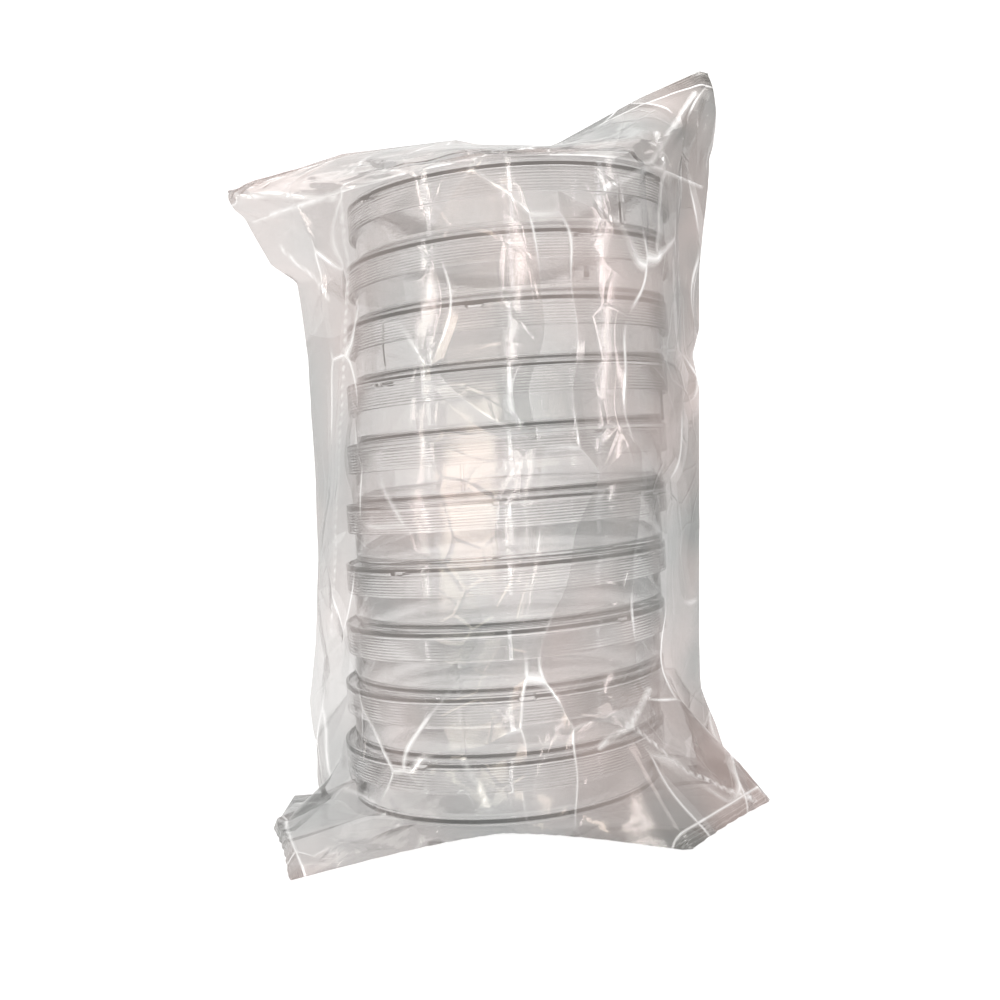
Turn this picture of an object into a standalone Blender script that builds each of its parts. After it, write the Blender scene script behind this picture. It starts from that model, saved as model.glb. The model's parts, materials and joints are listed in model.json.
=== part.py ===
"""A sleeve of ten 90 mm petri dishes: stacked bases and lids in a sealed bag of clear film.

Metres, +Z up. The origin is at the middle of the face that the bag stands on.
The stack leans a little towards +X, and every dish slides out along that lean.
"""

import math

import bmesh
import bpy

# The stack
DISHES = 10
SLIP = 0.0013  # how far each dish has slid towards +X on the one below it
TURNS = (140, -15, -17, 100, -5, 200, 75, -120, 160, 40)  # degrees, where each index rib faces
GAP = 0.0003  # left between any two pieces that rest on each other

# The base of a dish
BASE_HEIGHT = 0.0141  # from the foot to the rim
BASE_WALL = 0.0009
BASE_FLOOR = 0.0009
FOOT_HEIGHT = 0.0007
FOOT_WIDTH = 0.0012
FOOT_PLAY = 0.0006  # left between a slid foot ring and the stacking rim round it
RIB_WIDTH = 0.0010
RIB_DEPTH = 0.0005  # how far the rib stands out of the wall
RIB_CLEARANCE = 0.0010  # from the rib to the foot's top and to the lid's skirt

# The lid of a dish
LID_RADIUS = 0.0450
LID_SKIRT = 0.0072  # from the plate's top face to the skirt's lower edge
LID_WALL = 0.0009
LID_PLATE = 0.0008
LID_PLAY = 0.0009  # from the skirt to the base's wall, all round
STACKING_RIM_HEIGHT = 0.0007
STACKING_RIM_WIDTH = 0.0009
LUGS = 3
LUG_HEIGHT = 0.0007
LUG_WIDTH = 0.0040
LUG_DEPTH = 0.0030
CHAMFER = 0.0003

# The film sleeve
FILM = 0.0003
FILM_CLEARANCE = 0.0008  # from the lids to the film
FIN_REACH = 0.0085  # how far each side fold stands out past the film's round wall
# A lower ear: its cut end's two corners, as degrees from the side towards the front and the
# reach past the film's round wall; the height where it has died away; and how hollow its slope is.
LEFT_EAR = {"side": -1, "ends": ((25, 0.0120), (58, 0.0285)), "rise": 0.0170, "slope": 1.6}
RIGHT_EAR = {"side": 1, "ends": ((25, 0.0325), (53, 0.0310)), "rise": 0.0300, "slope": 1.4}
CUT_ABOVE_LID = 0.0008  # the tear line, above the top lid's stacking rim
SEAL_GATHER = 0.0066  # how far the wrinkles draw each tip of the seal in
SEAL_THICKNESS = 0.0016
SEAL_WIDTH = 0.0060
SEAL_RISE = 0.0205  # the seal's mean height above the tear line
SEAL_TILT = 0.0125  # how much higher the right tip stands, and the left one lower
SEAL_DIP = 0.0060  # the sag between the two ears
TIP_INSET = 14  # the hollow stops this many film thicknesses short of an ear's or a seal's tip

TURNED_STEPS = 36
RING_STEPS = 60
MERGE = 0.00002

# What follows from the sizes above
BASE_RADIUS = LID_RADIUS - LID_WALL - LID_PLAY
FOOT_RADIUS = LID_RADIUS - STACKING_RIM_WIDTH - SLIP - FOOT_PLAY
LUG_GAP = GAP + LUG_HEIGHT
LID_RISE = BASE_HEIGHT + LUG_GAP + LID_PLATE - LID_SKIRT  # from the foot to the skirt's lower edge
PITCH = LID_RISE + LID_SKIRT + GAP
LEAN = SLIP / PITCH
STACK_FOOT = FILM + GAP
STACK_TOP = STACK_FOOT + DISHES * PITCH - GAP + STACKING_RIM_HEIGHT
TEAR_HEIGHT = STACK_TOP + CUT_ABOVE_LID
FILM_RADIUS = LID_RADIUS + FILM_CLEARANCE + FILM
FOLD_RADIUS = FILM_RADIUS + FIN_REACH
FOLD_TURN = math.acos(FILM_RADIUS / FOLD_RADIUS)  # from a side fold to where its film meets the round wall
FLAT_WIDTH = 2 * (FOLD_RADIUS * math.sin(FOLD_TURN) + FILM_RADIUS * (math.pi / 2 - FOLD_TURN))
SEAL_HALF_LENGTH = FLAT_WIDTH / 2 - SEAL_GATHER
LEAN_MIDDLE = LEAN * TEAR_HEIGHT / 2


def lean_at(height):
    """How far towards +X the middle of the stack is at a height."""
    return LEAN * height - LEAN_MIDDLE


def new_collection(name):
    collection = bpy.data.collections.new(name)
    bpy.context.scene.collection.children.link(collection)
    return collection


def plastic(name, colour, roughness, alpha):
    material = bpy.data.materials.new(name)
    material.use_nodes = True
    shader = material.node_tree.nodes["Principled BSDF"]
    shader.inputs["Base Color"].default_value = (*colour, 1.0)
    shader.inputs["Roughness"].default_value = roughness
    shader.inputs["Metallic"].default_value = 0.0
    shader.inputs["Alpha"].default_value = alpha
    return material


def add_object(name, mesh, collection):
    thing = bpy.data.objects.new(name, mesh)
    collection.objects.link(thing)
    return thing


def turned(name, profile, collection):
    """A solid of revolution: the profile goes from the axis, down the outer side, back to the axis."""
    mesh = bpy.data.meshes.new(name)
    points = [(radius, 0.0, height) for radius, height in profile]
    mesh.from_pydata(points, [(i, i + 1) for i in range(len(points) - 1)], [])
    thing = add_object(name, mesh, collection)
    screw = thing.modifiers.new("turn", "SCREW")
    screw.axis = "Z"
    screw.steps = TURNED_STEPS
    screw.render_steps = TURNED_STEPS
    screw.use_merge_vertices = True
    screw.merge_threshold = MERGE
    return thing


def add_block(name, size, centre, turn, collection):
    """A box of a size, whose centre is at a place that is then turned about +Z."""
    bpy.ops.mesh.primitive_cube_add(size=1.0)
    block = bpy.context.active_object
    block.name = name
    for vertex in block.data.vertices:
        vertex.co = [vertex.co[i] * size[i] + centre[i] for i in range(3)]
    block.rotation_euler.z = turn
    for holder in list(block.users_collection):
        holder.objects.unlink(block)
    collection.objects.link(block)
    block.hide_render = True
    block.display_type = "WIRE"
    return block


def combine(thing, tool, operation):
    boolean = thing.modifiers.new(tool.name, "BOOLEAN")
    boolean.operation = operation
    boolean.object = tool
    boolean.solver = "EXACT"


def finished_mesh(thing, name):
    """The evaluated mesh of an object, shaded smooth with sharp edges; the object itself goes."""
    seen = thing.evaluated_get(bpy.context.evaluated_depsgraph_get())
    mesh = bpy.data.meshes.new_from_object(seen)
    mesh.name = name
    mesh.shade_smooth()
    mesh.set_sharp_from_angle(angle=math.radians(35))
    bpy.data.objects.remove(thing, do_unlink=True)
    return mesh


def base_mesh(parts, tools):
    """A base: a shallow cup on a foot ring, with one index rib on the outside of its wall."""
    inside = BASE_RADIUS - BASE_WALL
    floor = FOOT_HEIGHT + BASE_FLOOR
    cup = turned("cup", [
        (0.0, floor), (inside, floor), (inside, BASE_HEIGHT), (BASE_RADIUS, BASE_HEIGHT),
        (BASE_RADIUS, FOOT_HEIGHT + CHAMFER), (BASE_RADIUS - CHAMFER, FOOT_HEIGHT),
        (FOOT_RADIUS, FOOT_HEIGHT), (FOOT_RADIUS, 0.0), (FOOT_RADIUS - FOOT_WIDTH, 0.0),
        (FOOT_RADIUS - FOOT_WIDTH, FOOT_HEIGHT), (0.0, FOOT_HEIGHT),
    ], parts)
    low = FOOT_HEIGHT + RIB_CLEARANCE
    high = LID_RISE - RIB_CLEARANCE
    depth = RIB_DEPTH + BASE_WALL / 2
    rib = add_block("rib", (RIB_WIDTH, depth, high - low),
                    (0.0, -BASE_RADIUS - RIB_DEPTH + depth / 2, (low + high) / 2), 0.0, tools)
    combine(cup, rib, "UNION")
    return finished_mesh(cup, "base")


def lid_mesh(parts, tools):
    """A lid: a plate with a skirt, a raised stacking rim and vent lugs that rest on the base's rim."""
    inside = LID_RADIUS - LID_WALL
    rim_top = LID_SKIRT + STACKING_RIM_HEIGHT
    rim_inside = LID_RADIUS - STACKING_RIM_WIDTH
    ceiling = LID_SKIRT - LID_PLATE
    cap = turned("cap", [
        (0.0, LID_SKIRT), (rim_inside, LID_SKIRT), (rim_inside, rim_top),
        (LID_RADIUS - CHAMFER, rim_top), (LID_RADIUS, rim_top - CHAMFER),
        (LID_RADIUS, 0.0), (inside, 0.0), (inside, ceiling), (0.0, ceiling),
    ], parts)
    for i in range(LUGS):
        height = LUG_HEIGHT + LID_PLATE / 2
        lug = add_block(f"lug_{i + 1}", (LUG_DEPTH, LUG_WIDTH, height),
                        (inside + LID_WALL / 2 - LUG_DEPTH / 2, 0.0, ceiling - LUG_HEIGHT + height / 2),
                        math.radians(360 / LUGS * i), tools)
        combine(cap, lug, "UNION")
    return finished_mesh(cap, "lid")


def hull_reach(angle, radius, corners):
    """How far a tight film round a circle and its outside corners reaches in a direction.

    The film is the smallest of support / cos over all wall directions near that one.
    """
    reach = math.inf
    for step in range(-85, 86):
        facing = angle + math.radians(step)
        corner = max(x * math.cos(facing) + y * math.sin(facing) for x, y in corners)
        reach = min(reach, max(radius, corner) / math.cos(facing - angle))
    return reach


def ear_corners(ear, height, inset):
    """The two corners of a lower ear's cut end at a height."""
    share = max(0.0, 1.0 - height / ear["rise"]) ** ear["slope"]
    corners = []
    for turn, reach in ear["ends"]:
        distance = FILM_RADIUS + (reach - TIP_INSET * inset) * share - inset
        angle = math.radians(turn)
        corners.append((ear["side"] * distance * math.cos(angle), -distance * math.sin(angle)))
    return corners


def sleeve_ring(height, inset):
    """One level of the sleeve: round the stack, out to both side folds and to both lower ears."""
    radius = FILM_RADIUS - inset
    fold = FOLD_RADIUS - 2 * inset
    shapes = [[(fold, 0.0)], [(-fold, 0.0)]]
    shapes += [ear_corners(ear, height, inset) for ear in (LEFT_EAR, RIGHT_EAR)]
    ring = []
    for i in range(RING_STEPS):
        angle = 2 * math.pi * i / RING_STEPS
        reach = max(hull_reach(angle, radius, corners) for corners in shapes)
        ring.append((reach * math.cos(angle) + lean_at(height), reach * math.sin(angle), height))
    return ring


def seal_point(along, face, inset):
    """A point on the top seal: along from -1 at its left tip to 1 at its right one, face -1 to 1."""
    half = SEAL_HALF_LENGTH - TIP_INSET * inset
    rise = SEAL_RISE + SEAL_TILT * along ** 3 - SEAL_DIP * (1 - along * along) ** 4
    height = TEAR_HEIGHT + rise - (SEAL_WIDTH if inset else 0.0)
    return (half * along, face * SEAL_THICKNESS * (0.25 if inset else 0.5), height)


def top_ring(share, inset):
    """One level of the sleeve's top end: share 0 is the tear line and share 1 is the seal."""
    ring = []
    closing = math.sin(share * math.pi / 2)
    for i, (x, y, height) in enumerate(sleeve_ring(TEAR_HEIGHT, inset)):
        angle = 2 * math.pi * i / RING_STEPS
        seal = seal_point(math.cos(angle), math.sin(angle), inset)
        ring.append((x + (seal[0] - x) * closing, y + (seal[1] - y) * share,
                     height + (seal[2] - height) * share))
    return ring


def lofted(name, rings, collection):
    """A closed solid through rings that go from the bottom to the top, each counter-clockwise."""
    shape = bmesh.new()
    levels = [[shape.verts.new(point) for point in ring] for ring in rings]
    count = RING_STEPS
    for low, high in zip(levels, levels[1:]):
        for i in range(count):
            j = (i + 1) % count
            shape.faces.new((low[i], low[j], high[j], high[i]))
    for level, upward in ((levels[0], False), (levels[-1], True)):
        for i in range(count // 2):
            corners = [level[i], level[i + 1], level[count - i - 1], level[(count - i) % count]]
            corners = list(dict.fromkeys(corners))
            shape.faces.new(corners if upward else corners[::-1])
    mesh = bpy.data.meshes.new(name)
    shape.to_mesh(mesh)
    shape.free()
    return add_object(name, mesh, collection)


def hollow(name, outer, inner, parts, tools):
    """A shell of film: the outer form with the inner one cut out of it, open at one end."""
    thing = lofted(name, outer, parts)
    cutter = lofted(f"{name}_hollow", inner, tools)
    cutter.hide_render = True
    cutter.display_type = "WIRE"
    combine(thing, cutter, "DIFFERENCE")
    return thing


def sleeve_body(parts, tools):
    """The bag's tube with its closed lower end and the two lower ears, open at the tear line."""
    rises = [ear["rise"] for ear in (LEFT_EAR, RIGHT_EAR)]
    levels = sorted({0.0, *(share * rise for rise in rises for share in (0.12, 0.3, 0.5, 0.75, 1.0))})
    outer = [sleeve_ring(height, 0.0) for height in levels + [TEAR_HEIGHT - GAP]]
    inner = [sleeve_ring(height, FILM) for height in [FILM] + levels[2:] + [TEAR_HEIGHT + FILM]]
    return hollow("sleeve", outer, inner, parts, tools)


def sleeve_top_end(parts, tools):
    """The bag's upper end with its seal and the two upper ears, which comes off at the tear line."""
    shares = [k / 6 for k in range(7)]
    outer = [top_ring(share, 0.0) for share in shares]
    inner = [top_ring(share, FILM) for share in shares]
    below = [(x, y, height - FILM) for x, y, height in inner[0]]
    return hollow("sleeve_top_end", outer, [below] + inner, parts, tools)


def build():
    for thing in list(bpy.data.objects):
        bpy.data.objects.remove(thing, do_unlink=True)
    parts = new_collection("petri_dish_sleeve")
    tools = new_collection("cutters")
    base_plastic = plastic("base_polystyrene", (0.80, 0.80, 0.80), 0.10, 0.45)
    lid_plastic = plastic("lid_polystyrene", (0.86, 0.86, 0.87), 0.08, 0.40)
    film_plastic = plastic("sleeve_film", (0.90, 0.88, 0.87), 0.20, 0.25)

    base = base_mesh(parts, tools)
    lid = lid_mesh(parts, tools)
    base.materials.append(base_plastic)
    lid.materials.append(lid_plastic)
    for i in range(DISHES):
        foot = STACK_FOOT + i * PITCH
        skirt = foot + LID_RISE
        across = lean_at(skirt + LID_SKIRT / 2)
        for kind, mesh, height in (("base", base, foot), ("lid", lid, skirt)):
            piece = add_object(f"{kind}_{i + 1:02d}", mesh, parts)
            piece.location = (across, 0.0, height)
            piece.rotation_euler.z = math.radians(TURNS[i % len(TURNS)])

    for film in (sleeve_body(parts, tools), sleeve_top_end(parts, tools)):
        film.data.materials.append(film_plastic)
        film.data.shade_smooth()
        film.data.set_sharp_from_angle(angle=math.radians(35))


build()
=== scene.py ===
"""A sleeve of ten 90 mm petri dishes in clear film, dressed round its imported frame."""

import json
import math

import bpy
import numpy as np
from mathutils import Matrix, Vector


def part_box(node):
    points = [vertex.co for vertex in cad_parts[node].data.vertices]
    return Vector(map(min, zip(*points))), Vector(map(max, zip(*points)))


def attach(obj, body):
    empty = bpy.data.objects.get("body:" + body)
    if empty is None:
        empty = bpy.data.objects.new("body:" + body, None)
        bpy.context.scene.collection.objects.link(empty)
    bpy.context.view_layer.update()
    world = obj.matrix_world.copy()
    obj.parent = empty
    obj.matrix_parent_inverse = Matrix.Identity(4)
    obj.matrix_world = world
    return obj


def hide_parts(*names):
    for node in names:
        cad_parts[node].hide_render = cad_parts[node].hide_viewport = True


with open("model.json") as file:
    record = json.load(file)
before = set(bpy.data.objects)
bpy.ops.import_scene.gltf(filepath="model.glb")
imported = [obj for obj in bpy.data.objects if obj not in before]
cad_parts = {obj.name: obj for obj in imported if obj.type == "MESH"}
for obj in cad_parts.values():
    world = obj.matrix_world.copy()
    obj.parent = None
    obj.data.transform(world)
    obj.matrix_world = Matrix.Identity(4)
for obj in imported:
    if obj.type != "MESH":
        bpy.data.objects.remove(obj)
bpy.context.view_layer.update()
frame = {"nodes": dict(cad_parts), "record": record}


# The bases. Each is injection-moulded clear polystyrene: a shallow cup on a foot ring, with one
# index rib down the outside of its wall. They were stacked in a lid each, turned at random.

BASE_WALL = 0.0009
BASE_FLOOR = 0.0009
FOOT_HEIGHT = 0.0007
FOOT_WIDTH = 0.0012
RIB_WIDTH = 0.0010
RIB_HEIGHT = 0.00045
RIB_TOP = 0.52  # where the rib ends, as a share of the wall
RIB_FLANK = 0.3  # the rib's flanks, as a share of its half width
PAST_WALL = 0.0002  # a point this far outside the wall is on the rib
ROUND = 0.00022  # the radius of a moulded edge
FLOOR_ROUND = 0.0011
WALL_BULGE = 0.0009
AXIS_GAP = 0.002  # where the turned rows stop short of the axis
NEAR = 0.0001  # points closer than this are at the same level or reach
STREAKS = 0.00002  # how high the turned streaks stand in the gloss
TURNED_STEPS = 168


class Socket:
    """A shader value that can be used in Python expressions."""

    def __init__(self, tree, link):
        self.tree = tree
        self.link = link

    def node(self, kind, settings=None, out=0, **values):
        """Adds a node: its settings first, then values or links by socket name (or _0, _1 by place)."""
        node = self.tree.nodes.new(kind)
        for name, value in (settings or {}).items():
            setattr(node, name, value)
        for name, value in values.items():
            place = int(name[1:]) if name.startswith("_") else name.replace("_", " ")
            if isinstance(value, Socket):
                self.tree.links.new(value.link, node.inputs[place])
            else:
                node.inputs[place].default_value = value
        return Socket(self.tree, node.outputs[out])

    def maths(self, operation, first, second=0.0):
        """A Math node on any two values."""
        return self.node("ShaderNodeMath", {"operation": operation}, _0=first, _1=second)

    def vector(self, operation, out=0, **values):
        """A Vector Math node."""
        return self.node("ShaderNodeVectorMath", {"operation": operation}, out, **values)

    def __add__(self, other):
        return self.maths("ADD", self, other)

    def __mul__(self, other):
        return self.maths("MULTIPLY", self, other)

    def __sub__(self, other):
        return self.maths("SUBTRACT", self, other)

    def __rsub__(self, other):
        return self.maths("SUBTRACT", other, self)

    def __pow__(self, other):
        return self.maths("POWER", self, other)

    __radd__ = __add__
    __rmul__ = __mul__

    def shade(self, low, high, low_colour, high_colour):
        """Two colours, from one where this is low to the other where it is high."""
        share = self.node("ShaderNodeMapRange", Value=self, From_Min=low, From_Max=high)
        return self.node("ShaderNodeMix", {"data_type": "RGBA"}, out=2, _0=share,
                         _6=(*low_colour, 1.0), _7=(*high_colour, 1.0))


def new_material(name):
    """(material, its Principled shader, a Socket on object coordinates)."""
    material = bpy.data.materials.new(name)
    material.use_nodes = True
    tree = material.node_tree
    place = tree.nodes.new("ShaderNodeTexCoord").outputs["Object"]
    return material, tree.nodes["Principled BSDF"], Socket(tree, place)


def feed(shader, name, value):
    """Links a value to one of the shader's sockets."""
    value.tree.links.new(value.link, shader.inputs[name])


def polystyrene(name, tint, seed):
    """Clear polystyrene: faint flow haze in the colour, and finer streaks in the gloss and bump.

    A trace of glow stands for the light that the plastic scatters along its length, which makes
    a stack's edges pale.
    """
    material, shader, place = new_material(name)
    shader.inputs["Transmission Weight"].default_value = 1.0
    shader.inputs["Emission Color"].default_value = (1.0, 0.985, 0.97, 1.0)
    shader.inputs["Emission Strength"].default_value = 0.016
    shader.inputs["IOR"].default_value = 1.55
    flow = place.node("ShaderNodeTexNoise", {"noise_dimensions": "4D"}, Vector=place, W=seed,
                      Scale=38.0, Detail=3.0, Roughness=0.5)
    feed(shader, "Base Color", flow.shade(0.35, 0.7, tint, (1.0, 1.0, 1.0)))
    feed(shader, "Roughness", flow * 0.05)
    stretched = place.node("ShaderNodeMapping", {"vector_type": "POINT"}, Vector=place,
                           Scale=(30.0, 30.0, 900.0))
    rings = place.node("ShaderNodeTexNoise", Vector=stretched, Scale=1.0, Detail=2.0)
    bump = place.node("ShaderNodeBump", Height=rings, Distance=STREAKS, Strength=1.0)
    feed(shader, "Normal", bump)
    return material


def rounded(points, radii, steps=3):
    """A profile with its corners rounded: each corner becomes an arc tangent to both of its sides."""
    points = np.array(points, float)
    out = [points[:1]]
    for before, corner, after, radius in zip(points, points[1:], points[2:], radii):
        back, ahead = before - corner, after - corner
        room = min(np.linalg.norm(back), np.linalg.norm(ahead)) * 0.49
        cut = min(radius, room)
        share = np.linspace(0.0, 1.0, steps + 1)[:, None]
        start = corner + back / np.linalg.norm(back) * cut
        end = corner + ahead / np.linalg.norm(ahead) * cut
        out.append((1 - share) ** 2 * start + 2 * share * (1 - share) * corner + share ** 2 * end)
    out.append(points[-1:])
    return np.concatenate(out)


def steps_round(spots, half_width, edge):
    """Angles once round, evenly spaced, with extra ones at the edges of each spot."""
    angles = [np.linspace(0.0, 2 * np.pi, TURNED_STEPS, endpoint=False)]
    for spot in spots:
        for side in (-1, 1):
            angles.append(spot + side * (half_width + np.array([-edge, 0.0, edge])))
    return np.unique(np.round(np.concatenate(angles) % (2 * np.pi), 6))


def raised(angles, spot, half_width, edge):
    """1 on a spot of the circle and 0 off it, with straight flanks."""
    off = np.abs((angles - spot + np.pi) % (2 * np.pi) - np.pi)
    return np.clip((half_width + edge - off) / (2 * edge), 0.0, 1.0)


def mesh_piece(name, points, faces, material):
    """A piece at the origin, smooth but for its sharp edges."""
    mesh = bpy.data.meshes.new(name)
    mesh.from_pydata(points.reshape(-1, 3), [], faces)
    mesh.shade_smooth()
    mesh.set_sharp_from_angle(angle=math.radians(50))
    mesh.materials.append(material)
    piece = bpy.data.objects.new(name, mesh)
    bpy.context.scene.collection.objects.link(piece)
    return piece


def turned_faces(rows, columns):
    """Quads between the rows of a turned grid, and a fan at each end, where a row is one point."""
    row, column = np.meshgrid(np.arange(rows - 1), np.arange(columns), indexing="ij")
    after = (column + 1) % columns
    quads = np.stack([row * columns + column, (row + 1) * columns + column,
                      (row + 1) * columns + after, row * columns + after], -1).reshape(-1, 4)
    first, last = rows * columns, rows * columns + 1
    around = np.arange(columns)
    beyond = (around + 1) % columns
    low = (rows - 1) * columns
    top = np.stack([np.full(columns, first), around, beyond], -1)
    bottom = np.stack([np.full(columns, last), low + beyond, low + around], -1)
    return quads.tolist() + top.tolist() + bottom.tolist()


def turned_piece(name, radius, height, angles, middle, material):
    """Turns a profile: the point of row i at angle a is middle + (radius cos a, radius sin a, height).

    radius and height are grids of (profile point, angle); the axis closes both ends.
    """
    x = middle[0] + radius * np.cos(angles)
    y = middle[1] + radius * np.sin(angles)
    grid = np.stack([x, y, middle[2] + height], -1)
    ends = np.array([[middle[0], middle[1], middle[2] + height[k].mean()] for k in (0, -1)])
    points = np.concatenate([grid.reshape(-1, 3), ends])
    return mesh_piece(name, points, turned_faces(*radius.shape), material)


def node_points(node):
    """The points of a CAD node, in the world."""
    mesh = frame["nodes"][node].data
    points = np.empty(len(mesh.vertices) * 3)
    mesh.vertices.foreach_get("co", points)
    return points.reshape(-1, 3)


def round_middle(node):
    """The axis of a turned node: the mean of its circles, with its lowest height."""
    points = node_points(node)
    low, high = points.min(0), points.max(0)
    ring = points[points[:, 2] > high[2] - NEAR]
    middle = (ring.min(0) + ring.max(0)) / 2
    return np.array([middle[0], middle[1], low[2]])


def index_angle(node, middle, wall):
    """Where a base's index rib is: the points that stand out past the wall."""
    points = node_points(node) - middle
    reach = np.hypot(points[:, 0], points[:, 1])
    rib = points[reach > wall + PAST_WALL]
    return math.atan2(rib[:, 1].mean(), rib[:, 0].mean())


dishes = sorted(node for node in frame["nodes"] if node.startswith("base_"))
bodies = {node: body for body, nodes in frame["record"]["behaviour"]["bodies"].items() for node in nodes}

for number, node in enumerate(dishes):
    middle = round_middle(node)
    low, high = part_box(node)
    top = high[2] - low[2]
    points = node_points(node) - middle
    reach = np.hypot(points[:, 0], points[:, 1])
    wall = reach[points[:, 2] > top - NEAR].max()
    foot = reach[points[:, 2] < NEAR].max()
    inside = wall - BASE_WALL
    floor = FOOT_HEIGHT + BASE_FLOOR
    outline = rounded([
        (AXIS_GAP, floor), (inside * 0.6, floor), (inside, floor), (inside, top), (wall, top),
        (wall, top / 2), (wall, FOOT_HEIGHT), (foot, FOOT_HEIGHT), (foot, 0.0),
        (foot - FOOT_WIDTH, 0.0), (foot - FOOT_WIDTH, FOOT_HEIGHT), (AXIS_GAP, FOOT_HEIGHT),
    ], [ROUND, FLOOR_ROUND, ROUND, ROUND, ROUND, WALL_BULGE, ROUND, ROUND, ROUND, ROUND])
    rib = index_angle(node, middle, wall)
    half = RIB_WIDTH / 2 / wall
    flank = half * RIB_FLANK
    angles = steps_round([rib], half, flank)
    radius = np.repeat(outline[:, :1], len(angles), 1)
    height = np.repeat(outline[:, 1:], len(angles), 1)
    on_wall = (outline[:, 0] > wall - NEAR) & (outline[:, 1] < top * RIB_TOP)
    on_wall &= outline[:, 1] > FOOT_HEIGHT + ROUND
    radius += RIB_HEIGHT * on_wall[:, None] * raised(angles, rib, half, flank)[None]
    plastic = polystyrene(f"{node}_plastic", (0.985, 0.983, 0.982), number * 1.7)
    piece = turned_piece(f"{node}_moulding", radius, height, angles, middle, plastic)
    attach(piece, bodies[node])
    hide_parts(node)


# The lids. Each is a thin clear polystyrene plate with a skirt that hangs over the base, fine
# turned lines on the skirt, a raised rim that locates the next dish, and three vent lugs inside.

LID_WALL = 0.0009
LID_PLATE = 0.0008
STACKING_RIM_HEIGHT = 0.0007
STACKING_RIM_WIDTH = 0.0009
LUGS = 3
LUG_HEIGHT = 0.0007
LUG_HALF_WIDTH = 0.0020
LUG_DEPTH = 0.0030
LUG_FLANK = 0.12  # a lug's flanks, as a share of its half width
LINES = 7  # turned lines inside the skirt
LINE_DEPTH = 0.00003
LINE_STEPS = 4
LINES_FROM = 0.0006  # the lowest line, above the skirt's edge
LINES_TO = 0.0008  # the highest line, below the ceiling
SKIRT_ROUND = 0.0004
CEILING_BAND = 0.0005  # the ceiling's own points lie in this height
HAIR = 0.00001

for number, node in enumerate(dishes):
    node = node.replace("base", "lid")
    middle = round_middle(node)
    low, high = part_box(node)
    rim_top = high[2] - low[2]
    plate = rim_top - STACKING_RIM_HEIGHT
    points = node_points(node) - middle
    outside = np.hypot(points[:, 0], points[:, 1]).max()
    inside = outside - LID_WALL
    ceiling = plate - LID_PLATE
    line_height = np.linspace(LINES_FROM, ceiling - LINES_TO, LINES * LINE_STEPS + 1)
    lines = inside + LINE_DEPTH * np.sin(np.linspace(0.0, 2 * np.pi * LINES, LINES * LINE_STEPS + 1))
    shell = [(AXIS_GAP, plate), (outside * 0.6, plate), (outside - STACKING_RIM_WIDTH, plate),
             (outside - STACKING_RIM_WIDTH, rim_top), (outside, rim_top), (outside, rim_top * 0.5),
             (outside, 0.0), (inside, 0.0)]
    shell += list(zip(lines, line_height))
    shell += [(inside, ceiling), (inside - LUG_DEPTH, ceiling), (inside - LUG_DEPTH * 1.1, ceiling),
              (AXIS_GAP, ceiling)]
    radii = [ROUND, ROUND, ROUND, SKIRT_ROUND, ROUND, ROUND, ROUND] + [HAIR] * len(lines)
    radii += [SKIRT_ROUND, 0.0, 0.0]
    outline = rounded(shell, radii)
    turn = math.radians(37.0 * number)
    spots = [turn + 2 * math.pi / LUGS * i for i in range(LUGS)]
    half = LUG_HALF_WIDTH / inside
    flank = half * LUG_FLANK
    angles = steps_round(spots, half, flank)
    radius = np.repeat(outline[:, :1], len(angles), 1)
    height = np.repeat(outline[:, 1:], len(angles), 1)
    under = (outline[:, 1] > ceiling - CEILING_BAND) & (outline[:, 1] < ceiling + NEAR)
    under &= (outline[:, 0] > inside - LUG_DEPTH - HAIR) & (outline[:, 0] < inside + NEAR)
    lift = sum(raised(angles, spot, half, flank) for spot in spots)
    height -= LUG_HEIGHT * under[:, None] * lift[None]
    plastic = polystyrene(f"{node}_plastic", (0.988, 0.986, 0.985), number * 1.3 + 40)
    piece = turned_piece(f"{node}_moulding", radius, height, angles, middle, plastic)
    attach(piece, bodies[node])
    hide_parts(node)


# The sleeve. It is a tube of thin clear film, sealed across both ends. The tube lay flat on the
# roll, so a sharp fold stands out on each side, and the film clings to the lids between the two.
# The ends pucker into four ears, and the lowest dish presses the lower end flat.

FILM_OFF = 0.0003  # the film stays this far from what it lies on
TUBE_STEPS = 264
BODY_ROWS = 136
END_ROWS = 44
FLOOR_ROWS = 12
# The side folds from the floor up: height, and place from the middle plane to the side.
LEFT_FOLD = ((0.000, -0.0590), (0.010, -0.0590), (0.027, -0.0605), (0.044, -0.0576), (0.067, -0.0550),
             (0.090, -0.0540), (0.124, -0.0533), (0.146, -0.0546), (0.151, -0.0615), (0.164, -0.0670))
RIGHT_FOLD = ((0.000, 0.0560), (0.022, 0.0507), (0.107, 0.0568), (0.117, 0.0555), (0.124, 0.0580),
              (0.141, 0.0592), (0.164, 0.0630))
# The lower ears, seen from above: both corners of the cut end, then how high the ear climbs the
# wall and how hollow its slope is.
LOWER_EARS = (((-0.0718, -0.0315), (-0.0560, -0.0695), 0.016, 1.5),
              ((0.0618, -0.0376), (0.0345, -0.0690), 0.034, 1.15))
EAR_HOLLOW = 0.5  # how far an ear's sides draw in, seen from above
# The upper seal, from its right tip to its left tip.
UPPER_SEAL = ((0.0654, 0.000, 0.1955), (0.0632, 0.001, 0.1966), (0.0459, 0.003, 0.1909),
              (0.0225, 0.002, 0.1800), (0.0166, -0.003, 0.1768), (0.0053, -0.003, 0.1779),
              (-0.0070, 0.003, 0.1831), (-0.0396, 0.004, 0.1819), (-0.0710, -0.004, 0.1716))
SEAL_WIDTH = 0.0045
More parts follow.
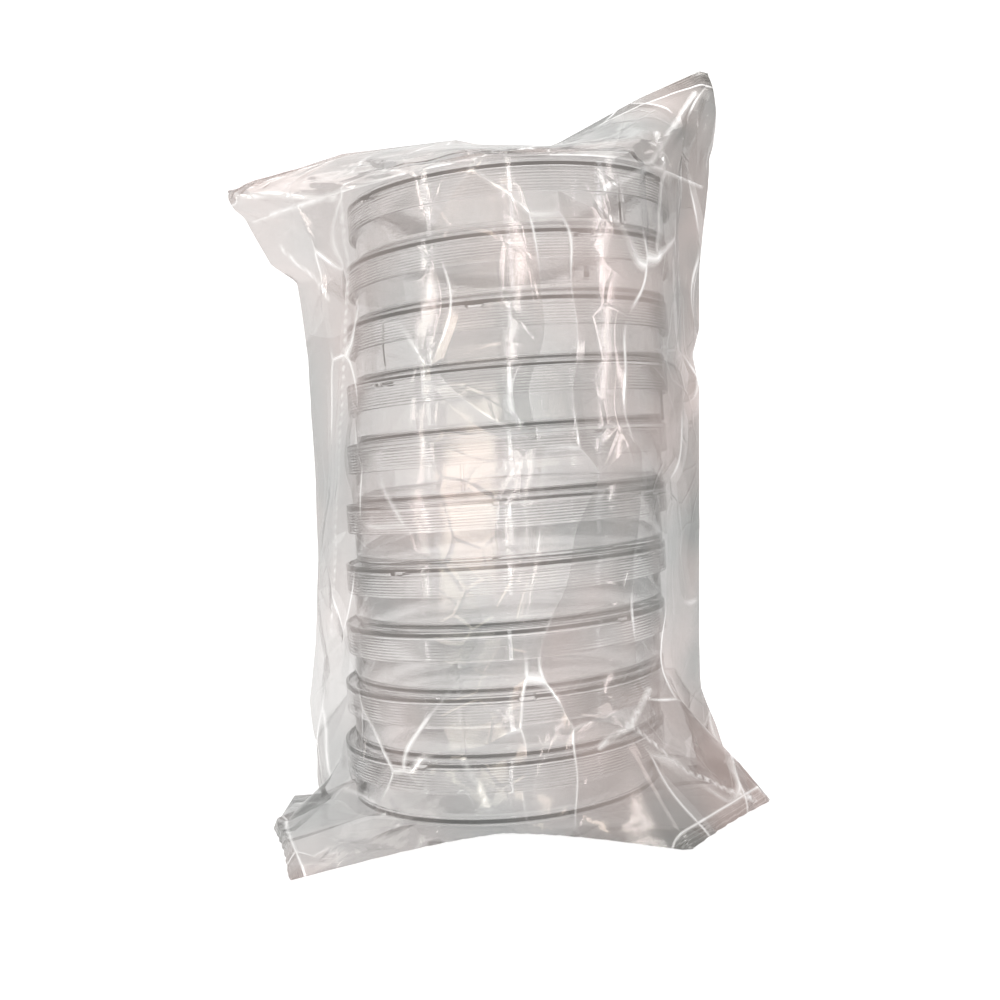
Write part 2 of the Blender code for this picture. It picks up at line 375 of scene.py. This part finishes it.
# The long creases on the front, each from one end to the other.
CREASES = (((-0.0691, -0.0050, 0.1703), (-0.0490, -0.0163, 0.1653), (-0.0383, -0.0229, 0.1622)),
           ((-0.0304, -0.0100, 0.1822), (-0.0340, -0.0200, 0.1680), (-0.0367, -0.0218, 0.1465),
            (-0.0406, -0.0176, 0.1212), (-0.0458, -0.0137, 0.0837), (-0.0515, -0.0095, 0.0450)),
           ((0.0468, -0.0167, 0.1754), (0.0456, -0.0238, 0.1586), (0.0430, -0.0257, 0.1405)),
           ((0.0280, -0.0401, 0.1549), (0.0427, -0.0281, 0.1633), (0.0612, -0.0015, 0.1906)),
           ((0.0172, -0.0485, 0.0197), (0.0250, -0.0456, 0.0232), (0.0328, -0.0304, 0.0294)),
           ((0.0240, -0.0447, 0.0250), (0.0311, -0.0455, 0.0186), (0.0381, -0.0475, 0.0116),
            (0.0555, -0.0418, 0.0019)),
           ((-0.0572, -0.0040, 0.1562), (-0.0493, -0.0080, 0.1464), (-0.0439, -0.0131, 0.1380)),
           ((-0.0471, -0.0323, 0.0103), (-0.0376, -0.0474, 0.0087), (-0.0318, -0.0527, 0.0060)),
           ((-0.0158, -0.0454, 0.0186), (-0.0120, -0.0466, 0.0113), (-0.0103, -0.0479, 0.0065)))
CREASE_HEIGHT = 0.0005
CREASE_REACH = 0.0030
CREASE_SAMPLES = 60
SLACK = (0.003, 0.035, 0.020)  # how much longer the film is than its way round: body, top, foot
TOP_FADE, FOOT_FADE = 24, 26  # rows over which the body passes into the top and the foot
RIPPLE, FINE_RIPPLE = 0.0007, 0.0003
PLEATS = (0.0003, 0.0034, 0.0034)  # how high the pleats stand: body, top, foot
FACETS = 38.0  # facets to the metre
SEAL_RIBS = 7000.0  # radians of the seal's ribbing to the metre
HOME, FOLD_HOME = 0.003, 0.030  # how strongly a point is pulled back to where it began
EASE = 0.03
SHEAR = 0.12
PASSES, QUICK_PASSES = 320, 60
SEAL_GAP = 0.0004

lids = [node.replace("base", "lid") for node in dishes]
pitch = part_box(dishes[1])[0][2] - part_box(dishes[0])[0][2]
skirt_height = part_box(lids[0])[1][2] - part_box(lids[0])[0][2]
lowest, highest = round_middle(lids[0]), round_middle(lids[-1])
lean = (highest[0] - lowest[0]) / (highest[2] - lowest[2])
stack_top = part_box(lids[-1])[1][2]
lid_edge = (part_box(lids[0])[1][0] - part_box(lids[0])[0][0]) / 2
tear_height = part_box("sleeve")[1][2]
film_radius = lid_edge + 2 * FILM_OFF
fold_column = TUBE_STEPS // 2


def lean_at(height):
    """How far towards +X the middle of the stack is at a height: it climbs in a straight line."""
    return lowest[0] + lean * (height - lowest[2])


def read_along(points, share):
    """Reads a row of points at shares of its length, with straight runs between them."""
    points = np.array(points, float)
    run = np.concatenate([[0.0], np.cumsum(np.linalg.norm(np.diff(points, axis=0), axis=1))])
    return np.stack([np.interp(share * run[-1], run, points[:, k]) for k in range(points.shape[1])], -1)


def reach_of(angles, radius, corners):
    """How far film pulled tight round a circle and some corners reaches at each angle.

    It is the least, over all the ways the film can face, of support / cos(angle between them).
    """
    facing = np.radians(np.arange(-84.0, 85.0, 2.0))[None] + angles[:, None]
    support = np.full(facing.shape, radius)
    for x, y in corners:
        support = np.maximum(support, x * np.cos(facing) + y * np.sin(facing))
    return (support / np.cos(facing - angles[:, None])).min(1)


def smooth_noise(shape, cells, random):
    """Random values on a coarse grid that closes round its columns, eased between the cells."""
    grid = random.standard_normal((cells[0] + 1, cells[1]))
    row = np.linspace(0.0, cells[0] - 1e-6, shape[0])
    column = np.linspace(0.0, cells[1], shape[1], endpoint=False)
    low, left = row.astype(int), column.astype(int)
    down = ((row - low) ** 2 * (3 - 2 * (row - low)))[:, None]
    along = ((column - left) ** 2 * (3 - 2 * (column - left)))[None]
    right = (left + 1) % cells[1]
    upper = grid[low][:, left] * (1 - along) + grid[low][:, right] * along
    lower = grid[low + 1][:, left] * (1 - along) + grid[low + 1][:, right] * along
    return upper * (1 - down) + lower * down


def tube_row(angles, height):
    """One level of the tube: tight round the lids and out to both folds and both lower ears."""
    across = lean_at(height)
    folds = (LEFT_FOLD, RIGHT_FOLD)
    shapes = [[(np.interp(height, *np.transpose(fold)) - across, 0.0)] for fold in folds]
    for first, second, rise, slope in LOWER_EARS:
        share = max(0.0, 1.0 - height / rise) ** slope
        ear = np.array([first, second]) - (lean_at(0.0), 0.0)
        wall = ear / np.linalg.norm(ear, axis=1)[:, None] * film_radius
        shapes.append(wall + (ear - wall) * share)
    reaches = [reach_of(angles, film_radius, shape) for shape in shapes]
    for k in range(len(folds), len(shapes)):
        beyond = reaches[k] - film_radius
        reaches[k] = film_radius + beyond * (beyond / (beyond.max() + 1e-6)) ** EAR_HOLLOW
    reach = np.max(reaches, 0)
    return np.stack([reach * np.cos(angles) + across, reach * np.sin(angles),
                     np.full_like(angles, height)], -1)


def cut_edge(first, second):
    """Where both corners of a lower ear's cut end come to lie on the floor."""
    middle = np.array([lean_at(0.0), 0.0])
    ear = np.array([first, second]) - middle
    length = np.linalg.norm(ear, axis=1)
    beyond = length - film_radius
    reach = film_radius + beyond * (beyond / beyond.max()) ** EAR_HOLLOW
    return np.append(ear * (reach / length)[:, None] + middle, np.full((2, 1), FILM_OFF), 1)


def film_rows():
    """The film before it settles: rows up the tube, then rows ruled from its rim to the seal."""
    angles = np.linspace(0.0, 2 * np.pi, TUBE_STEPS, endpoint=False)
    tube = np.array([tube_row(angles, z) for z in np.linspace(FILM_OFF, tear_height, BODY_ROWS)])
    round_share = np.abs(np.arange(TUBE_STEPS) - fold_column) / fold_column
    seal = read_along(UPPER_SEAL, 0.5 + 0.5 * np.cos(np.pi * round_share))
    seal[:, 1] += SEAL_GAP / 2 * np.sin(angles)
    share = np.linspace(0.0, 1.0, END_ROWS + 1)[1:, None, None]
    return np.concatenate([tube, tube[-1] * (1 - share) + seal * share])


def pulled(first, second, rest, first_free, second_free, amount):
    """Moves both ends of each span towards its own length, by their shares of freedom."""
    span = second - first
    length = np.linalg.norm(span, axis=-1, keepdims=True) + 1e-9
    total = first_free + second_free + 1e-9
    step = span * ((length - rest[..., None]) / length * amount)
    first += step * (first_free / total)
    second -= step * (second_free / total)


def lengths(points):
    """The lengths of a grid's spans: round the rows, up the columns, and along both diagonals."""
    ahead = np.roll(points, -1, 1)
    return [np.linalg.norm(span, axis=-1) for span in
            (ahead - points, points[1:] - points[:-1], ahead[1:] - points[:-1], points[1:] - ahead[:-1])]


def settle(points, rests, free, home, passes):
    """Lets the film settle: spans seek their lengths, and the film stays off the dishes and floor.

    Each pass corrects even then odd spans in both directions, half-corrects the diagonals, eases
    every point a little towards its neighbours' mean, and pulls it gently back to where it was.
    """
    start = points.copy()
    free = free[..., None]
    for _ in range(passes):
        for k in (0, 1):
            first, second = points[:, k::2].copy(), np.roll(points[:, 1 - k::2], -k, 1)
            pulled(first, second, rests[0][:, k::2], free[:, k::2],
                   np.roll(free[:, 1 - k::2], -k, 1), 0.9)
            points[:, k::2], points[:, 1 - k::2] = first, np.roll(second, k, 1)
        for k in (0, 1):
            upper = points[k + 1::2]
            lower = points[k::2][:len(upper)]
            pulled(lower, upper, rests[1][k::2][:len(upper)], free[k::2][:len(upper)],
                   free[k + 1::2], 0.9)
        ahead = np.roll(points, -1, 1)
        for first, second, rest, shift in ((points[:-1], ahead[1:], rests[2], (0, 1)),
                                           (ahead[:-1], points[1:], rests[3], (1, 0))):
            span = second - first
            length = np.linalg.norm(span, axis=-1, keepdims=True) + 1e-9
            step = span * ((length - rest[..., None]) / length * SHEAR)
            points[:-1] += np.roll(step, shift[0], 1) * free[:-1]
            points[1:] -= np.roll(step, shift[1], 1) * free[1:]
        mean = (np.roll(points, 1, 1) + np.roll(points, -1, 1)) / 2
        points += (mean - points) * EASE * free
        points[1:-1] += ((points[:-2] + points[2:]) / 2 - points[1:-1]) * EASE * free[1:-1]
        points += (start - points) * home[..., None] * free
        off_stack(points, free)
        near = points[:-2, fold_column + 1:]
        far = points[:-2, fold_column - 1:0:-1]
        close = np.clip(2 * FILM_OFF - (far[..., 1] - near[..., 1]), 0.0, None) / 2
        near[..., 1] -= close
        far[..., 1] += close


def off_stack(points, free):
    """Pushes what has got inside a dish out of its side or top, and what is under the floor up."""
    height = points[..., 2]
    level = (height - lowest[2]) % pitch
    edge = np.where(level < skirt_height, lid_edge, wall) + FILM_OFF
    x = points[..., 0] - lean_at(height)
    distance = np.hypot(x, points[..., 1]) + 1e-9
    inward = edge - distance
    above = stack_top + FILM_OFF - height
    inside = (inward > 0) & (above > 0)
    sideways = inside & (inward <= above)
    upward = inside & ~sideways
    push = np.where(sideways, inward / distance, 0.0)[..., None] * (free > 0)
    points[..., :2] += push * np.stack([x, points[..., 1]], -1)
    points[..., 2] += np.where(upward, above, 0.0) * (free[..., 0] > 0)
    points[..., 2] = np.maximum(points[..., 2], FILM_OFF)


def film_skin(name, grid, material, end):
    """A mesh on rows of points that close round: its end row is stitched shut, front to back."""
    rows, columns = grid.shape[:2]
    row, column = np.meshgrid(np.arange(rows - 1), np.arange(columns), indexing="ij")
    after = (column + 1) % columns
    faces = np.stack([row * columns + column, row * columns + after,
                      (row + 1) * columns + after, (row + 1) * columns + column], -1).reshape(-1, 4)
    first = np.arange(1, columns // 2 - 1)
    shut = np.stack([first, first + 1, columns - first - 1, columns - first], -1)
    corners = np.array([[0, 1, columns - 1], [columns // 2 - 1, columns // 2, columns // 2 + 1]])
    if end == "first":
        shut, corners, place = shut[:, ::-1], corners[:, ::-1], 0
    else:
        place = (rows - 1) * columns
    faces = faces.tolist() + (shut + place).tolist() + (corners + place).tolist()
    return mesh_piece(name, grid, faces, material)


def from_edge(points, first, second):
    """How far points are from the straight edge between two points."""
    along = np.clip((points - first) @ (second - first) / np.sum((second - first) ** 2), 0.0, 1.0)
    return np.linalg.norm(points - first - along[..., None] * (second - first), axis=-1)


def squares(first, second):
    """The squared distance of every point of one list from every point of another."""
    return (first ** 2).sum(1)[:, None] + (second ** 2).sum(1)[None] - 2 * first @ second.T


def from_creases(points):
    """How far points are from the long creases, once each crease lies on the film and is eased."""
    flat = points.reshape(-1, 3)
    away = np.full(len(flat), 1.0)
    last = CREASE_SAMPLES - 1
    for line in CREASES:
        samples = read_along(line, np.linspace(0.0, 1.0, CREASE_SAMPLES))
        laid = flat[squares(samples, flat).argmin(1)]
        laid = np.mean([laid[np.clip(np.arange(last + 1) + k, 0, last)] for k in range(-4, 5)], 0)
        away = np.minimum(away, np.sqrt(np.maximum(squares(laid, flat).min(0), 0.0)))
    return away.reshape(points.shape[:-1])


def marked(piece, points, depth):
    """Stores how far each point is from a sealed edge and from a crease, and how deep the
    painted shade on the film is there, growing towards the right.
    """
    # Painted shade: the film's grey veil is made deeper from left to right.
    cloudy = np.clip((points[..., 0] + 0.06) / 0.12, 0.0, 1.0) ** 1.5
    for name, values in (("edge_depth", np.clip(depth, 0.0, 0.02)), ("cloudy", cloudy),
                         ("crease_away", np.clip(from_creases(points), 0.0, 0.02))):
        values = np.ascontiguousarray(values.reshape(-1), dtype=np.float32)
        piece.data.attributes.new(name, "FLOAT", "POINT").data.foreach_set("value", values)


def clear_film(name):
    """Thin, slightly hazy film: tilted facets between sharp creases, and ribbed seals.

    Its veil is a dark grey that is partly haze and partly painted shade, with patches from green-grey
    to pinkish that are painted reflections of the room. The facets are the cells of a bent Voronoi
    pattern. Each leans its own way, and in patches the creases between them are painted white:
    partly film whitened by stretching, partly painted highlight.
    """
    material, shader, place = new_material(name)
    shader.inputs["Metallic"].default_value = 0.6
    cloud = place.node("ShaderNodeTexNoise", Vector=place, Scale=24.0, Detail=2.0)
    feed(shader, "Roughness", cloud * 0.22 + 0.06)

    wander = place.node("ShaderNodeTexNoise", out=1, Vector=place, Scale=20.0, Detail=1.0)
    bent = place.vector("MULTIPLY_ADD", _0=wander, _1=(0.045, 0.045, 0.045), _2=place)
    tall = place.vector("MULTIPLY", _0=bent, _1=(1.0, 1.0, 0.55))
    edge = {"feature": "DISTANCE_TO_EDGE"}
    crease = place.node("ShaderNodeTexVoronoi", edge, Vector=tall, Scale=FACETS)
    own = place.node("ShaderNodeTexVoronoi", out=1, Vector=tall, Scale=FACETS)
    own = place.vector("SUBTRACT", _0=own, _1=(0.5, 0.5, 0.5))
    middle = place.node("ShaderNodeTexVoronoi", out=2, Vector=tall, Scale=FACETS)
    tilt = place.vector("DOT_PRODUCT", out=1, _0=own, _1=place.vector("SUBTRACT", _0=tall, _1=middle))
    shine = place.vector("DOT_PRODUCT", out=1, _0=own, _1=(1.0, 0.0, 0.0))

    # Patches where the facet creases are painted white: partly film whitened by stretching, partly
    # painted highlight.
    whitening_and_glint = place.node("ShaderNodeTexNoise", Vector=place, Scale=46.0, Detail=1.0)
    whitening_and_glint = place.node("ShaderNodeMapRange", Value=whitening_and_glint, From_Min=0.48, From_Max=0.66)
    depth = place.node("ShaderNodeAttribute", {"attribute_name": "edge_depth"}, out=2)
    sealed = place.node("ShaderNodeMapRange", Value=depth, From_Min=SEAL_WIDTH,
                        From_Max=SEAL_WIDTH * 0.9)
    # A thin painted highlight along the seal's inner edge.
    rim = 1.0 - place.maths("ABSOLUTE", depth - SEAL_WIDTH) * 2200.0
    away = place.node("ShaderNodeAttribute", {"attribute_name": "crease_away"}, out=2)
    white = place.maths("MAXIMUM", 1.0 - crease * 42.0, 0.0) * whitening_and_glint
    white = place.maths("MAXIMUM", white, rim * 0.8)
    # Painted highlights along the long creases.
    white = place.maths("MAXIMUM", white, (1.0 - away * 800.0) * (cloud * 1.6 - 0.1))
    # The veil's colour is painted: a dark grey that stands for shade, in patches from green-grey to a
    # lighter pinkish grey that are painted reflections of the room.
    tint = cloud.shade(0.36, 0.66, (0.165, 0.172, 0.165), (0.47, 0.395, 0.375))
    feed(shader, "Base Color", place.node("ShaderNodeMix", {"data_type": "RGBA"}, out=2, _0=white,
                                          _6=tint, _7=(1.0, 1.0, 1.0, 1.0)))

    small = place.node("ShaderNodeTexVoronoi", edge, Vector=bent, Scale=88.0)
    small = place.maths("MAXIMUM", 1.0 - small * 16.0, 0.0) * (1.0 - whitening_and_glint)
    swell = place.node("ShaderNodeTexNoise", Vector=place, Scale=42.0, Detail=2.0, Roughness=0.4)
    grain = place.node("ShaderNodeTexNoise", Vector=place, Scale=150.0, Detail=2.0, Roughness=0.5)
    height = tilt * place.maths("MINIMUM", crease * 10.0, 1.0) * 170.0
    height += place.maths("MAXIMUM", 1.0 - crease * 9.0, 0.0) * 0.3 + small * 0.12
    height += swell * 1.3 + grain * 0.15 + place.maths("SINE", depth * SEAL_RIBS) * sealed * 0.12
    bump = place.node("ShaderNodeBump", Height=height, Distance=0.0009, Strength=0.6)
    feed(shader, "Normal", bump)

    # Painted shade that deepens the grey veil towards the right.
    cloudy = place.node("ShaderNodeAttribute", {"attribute_name": "cloudy"}, out=2)
    glance = place.node("ShaderNodeLayerWeight", out=1, Blend=0.5, Normal=bump) ** 3.0
    veil = cloud * 0.30 + cloudy * 0.24 + 0.18
    # The alpha is how much of the grey veil covers what lies behind: each facet is painted a little
    # darker or lighter by its own share, standing in for how it catches the light.
    feed(shader, "Alpha", veil + glance * 0.6 + shine * 0.22 + sealed * 0.14 + white * 0.3)
    return material


random = np.random.default_rng(7)
film = film_rows()
shape = film.shape[:2]
rows = np.arange(shape[0])[:, None]
is_end = np.clip((rows - BODY_ROWS + TOP_FADE / 2) / TOP_FADE, 0.0, 1.0)
is_foot = np.clip(1.0 - rows / FOOT_FADE, 0.0, 1.0)
loose = SLACK[0] + SLACK[1] * is_end + SLACK[2] * is_foot
loose = loose * np.clip(0.6 + 0.8 * smooth_noise(shape, (16, 22), random), 0.0, 2.5)
spans = lengths(film)
rests = [spans[0] * (1 + loose), spans[1] * (1 + 0.6 * loose[:-1]),
         spans[2] * (1 + 0.8 * loose[:-1]), spans[3] * (1 + 0.8 * loose[:-1])]
outward = film - np.stack([lean_at(film[..., 2]), np.zeros(shape), film[..., 2]], -1)
outward /= np.linalg.norm(outward, axis=-1, keepdims=True) + 1e-9
ripple = RIPPLE * smooth_noise(shape, (22, 34), random)
ripple += FINE_RIPPLE * smooth_noise(shape, (60, 90), random)
end_share = np.clip((rows - BODY_ROWS) / END_ROWS, 0.0, 1.0)
pleats = PLEATS[0] + PLEATS[1] * np.sin(np.pi * end_share) + PLEATS[2] * is_foot
ripple += pleats * smooth_noise(shape, (4, 40), random)
free = np.ones(shape)
free[[0, -1]] = 0.0
home = np.full(shape, HOME)
home[:, [0, fold_column]] = FOLD_HOME
film += outward * (np.abs(ripple) * (0.35 + is_end + is_foot) * free)[..., None]
settle(film, rests, free, home, PASSES)
crest = np.clip(1.0 - from_creases(film) / CREASE_REACH, 0.0, None) * free
film += outward * (CREASE_HEIGHT * crest)[..., None]

share = np.linspace(0.0, 1.0, FLOOR_ROWS + 1)[:-1, None, None]
seam = film[0] * (1.0, 0.004, 1.0)
floor_rows = seam * (1 - share) + film[0] * share
floor_rows[..., 2] = FILM_OFF
tube, top = np.concatenate([floor_rows, film[:BODY_ROWS]]), film[BODY_ROWS - 1:]
film_material = clear_film("clear_film")
tube_piece = film_skin("film_sleeve", tube, film_material, "first")
marked(tube_piece, tube, np.min([from_edge(tube, *cut_edge(*ear[:2])) for ear in LOWER_EARS], 0))
top_piece = film_skin("film_top_end", top, film_material, "last")
climb = np.linalg.norm(np.diff(top, axis=0), axis=-1)[::-1]
marked(top_piece, top, np.append(np.cumsum(climb, 0)[::-1], np.zeros((1, TUBE_STEPS)), 0))
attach(tube_piece, bodies["sleeve"])
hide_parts("sleeve")
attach(top_piece, bodies["sleeve_top_end"])
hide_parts("sleeve_top_end")


# The studio: a white sweep under and behind the sleeve in an evenly lit pale room, with one wide
# soft light above, tall narrow ones to both sides and in front, and a low warm window at the left.

SWEEP_DEPTH = 0.9
SWEEP_HEIGHT = 1.2
SWEEP_WIDTH = 2.4
SWEEP_FRONT = -1.2
SWEEP_BEND = 0.35
STACK_MIDDLE = (0.0, 0.0, 0.09)


def sweep():
    """A floor that curves up into a back wall: a quarter circle joins the two."""
    start = SWEEP_DEPTH - SWEEP_BEND
    front = np.array([[SWEEP_FRONT, 0.0], [start, 0.0]])
    turn = np.linspace(0.0, np.pi / 2, 17)[1:]
    curve = np.stack([start + SWEEP_BEND * np.sin(turn), SWEEP_BEND * (1 - np.cos(turn))], 1)
    outline = np.concatenate([front, curve, [[SWEEP_DEPTH, SWEEP_HEIGHT]]])
    across = np.array([-SWEEP_WIDTH / 2, SWEEP_WIDTH / 2])
    grid = np.stack([np.broadcast_to(across, (len(outline), 2)),
                     np.repeat(outline[:, :1], 2, 1), np.repeat(outline[:, 1:], 2, 1)], -1)
    row = np.arange(len(outline) - 1)
    faces = np.stack([row * 2, row * 2 + 1, row * 2 + 3, row * 2 + 2], -1).tolist()
    material, shader, place = new_material("studio_white")
    shader.inputs["Base Color"].default_value = (0.40, 0.40, 0.40, 1.0)
    shader.inputs["Roughness"].default_value = 0.9
    shader.inputs["Specular IOR Level"].default_value = 0.1
    shader.inputs["Emission Color"].default_value = (1.0, 1.0, 1.0, 1.0)
    shader.inputs["Emission Strength"].default_value = 0.76
    mesh_piece("studio_sweep", grid, faces, material)


def soft_light(name, place, size, aim, power, colour):
    """A rectangular light at a place, turned to face another."""
    light = bpy.data.lights.new(name, "AREA")
    light.shape = "RECTANGLE"
    light.size, light.size_y = size
    light.energy = power
    light.color = colour
    lamp = bpy.data.objects.new(name, light)
    bpy.context.scene.collection.objects.link(lamp)
    lamp.location = place
    way = np.array(aim) - np.array(place)
    lamp.rotation_euler = (math.atan2(math.hypot(way[0], way[1]), -way[2]), 0.0,
                           math.atan2(way[1], way[0]) - math.pi / 2)


def camera():
    """Level with the middle of the stack, a forearm away, and turned a little so the rims climb."""
    lens = bpy.data.cameras.new("camera")
    lens.lens = 39.6
    lens.sensor_width = 36.0
    lens.clip_start = 0.01
    thing = bpy.data.objects.new("camera", lens)
    bpy.context.scene.collection.objects.link(thing)
    thing.location = (-0.0018, -0.3124, 0.0870)
    thing.rotation_euler = (math.radians(88.72), math.radians(4.316), math.radians(-0.05))
    bpy.context.scene.camera = thing


sweep()
soft_light("overhead", (0.0, 0.1, 0.75), (0.9, 0.9), (0.0, 0.0, 0.0), 3.5, (1.0, 1.0, 1.0))
soft_light("left_window", (-0.55, -0.35, 0.30), (0.04, 0.5), STACK_MIDDLE, 0.5, (1.0, 0.98, 0.96))
soft_light("right_window", (0.55, -0.25, 0.25), (0.04, 0.5), STACK_MIDDLE, 0.45, (0.97, 0.98, 1.0))
soft_light("warm_window", (-0.47, -0.95, 0.10), (0.70, 0.18), STACK_MIDDLE, 1.6, (1.0, 0.93, 0.82))
soft_light("front_strip", (0.03, -0.95, 0.25), (0.045, 0.6), STACK_MIDDLE, 0.8, (1.0, 1.0, 1.0))
world = bpy.data.worlds.new("room")
world.use_nodes = True
world.node_tree.nodes["Background"].inputs["Color"].default_value = (0.80, 0.772, 0.75, 1.0)
world.node_tree.nodes["Background"].inputs["Strength"].default_value = 1.14
bpy.context.scene.world = world
camera()
bpy.context.scene.view_settings.view_transform = "Standard"
bpy.context.scene.cycles.max_bounces = 32
bpy.context.scene.cycles.transmission_bounces = 32
bpy.context.scene.cycles.transparent_max_bounces = 32
